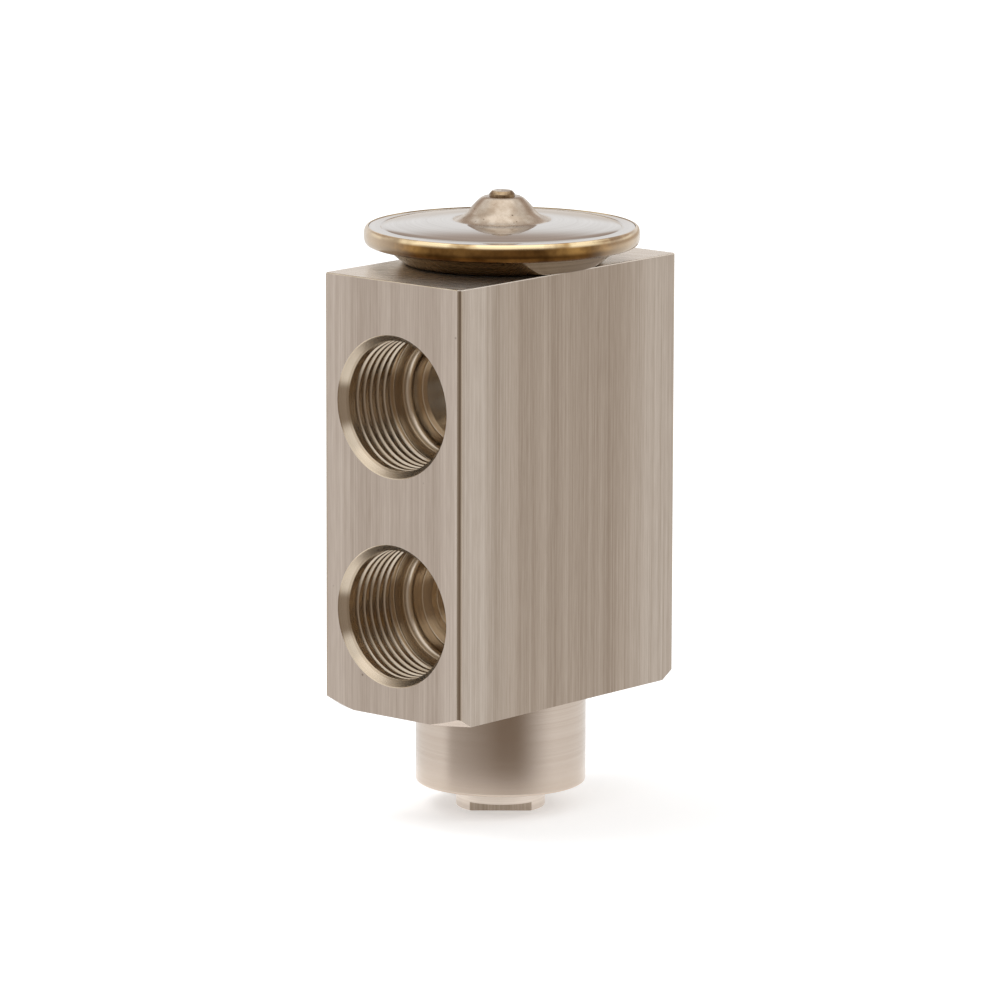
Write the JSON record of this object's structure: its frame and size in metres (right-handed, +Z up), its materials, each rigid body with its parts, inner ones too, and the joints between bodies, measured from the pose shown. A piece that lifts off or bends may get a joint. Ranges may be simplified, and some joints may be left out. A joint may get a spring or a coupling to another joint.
{
  "type": "block expansion valve",
  "caption": "Block expansion valve: flat-sided metal block with threaded ports front and back, a round power head on top and a superheat adjusting screw under a turned boss.",
  "frame": {"origin": "on the vertical axis of head, valve stem and adjusting screw, at the flat end face of the adjusting screw, where the valve stands", "axes": "+Z up along the valve axis to the charge plug; -Y is the front port face with the liquid inlet below, +Y the back port face; X runs across the narrow width"},
  "size_m": [0.0442, 0.053, 0.1002],
  "materials": {
    "block_metal": "drawn bar with upright streaks, satin, machined ports and boss",
    "shell_steel": "pressed and polished",
    "lower_shell_steel": "pressed and polished",
    "weld_gold": "smooth heat-tinted weld bead",
    "plug_steel": "heat-tinted weld",
    "neck_steel": "turned",
    "seal_rubber": "matt",
    "diaphragm_steel": "thin spring sheet",
    "brass": "turned",
    "pin_steel": "ground",
    "spring_steel": "drawn wire and strip",
    "clip_steel": "blackened strip",
    "screw_metal": "turned, milled flats"
  },
  "bodies": {
    "housing": {"valve_block": "block_metal", "lower_shell": "lower_shell_steel", "head_neck": "neck_steel", "head_seal": "seal_rubber", "diaphragm": "diaphragm_steel", "upper_shell": "shell_steel", "rim_weld": "weld_gold", "charge_plug": "plug_steel", "rod_seal": "seal_rubber", "seal_washer": "brass", "seal_clip": "clip_steel"},
    "spindle": {"diaphragm_pad": "brass", "sensing_pin": "pin_steel", "push_rod": "pin_steel", "valve_ball": "pin_steel", "ball_carrier": "brass", "damper_spring": "spring_steel"},
    "spring_follower": {"spring_seat": "brass", "superheat_spring": "spring_steel"},
    "adjuster": {"adjusting_screw": "screw_metal", "adjuster_seal": "seal_rubber"}
  },
  "joints": [
    {"name": "valve_lift", "type": "slide", "parent": "housing", "child": "spindle", "axis": [0, 0, -1], "range_m": [0, 0.0008], "stiffness_N_per_m": 3000, "springref_m": -0.001, "deforming": ["superheat_spring"]},
    {"name": "adjuster_travel", "type": "slide", "parent": "housing", "child": "spring_follower", "axis": [0, 0, 1], "range_m": [-0.001, 0.001], "deforming": ["superheat_spring"]},
    {"name": "adjuster_turn", "type": "hinge", "parent": "spring_follower", "child": "adjuster", "pos_m": [0, 0, 0], "axis": [0, 0, 1], "range_deg": [-365, 365]}
  ],
  "couplings": [
    {"joint": "adjuster_turn", "follows": "adjuster_travel", "rad_per_m": 6283.2}
  ]
}
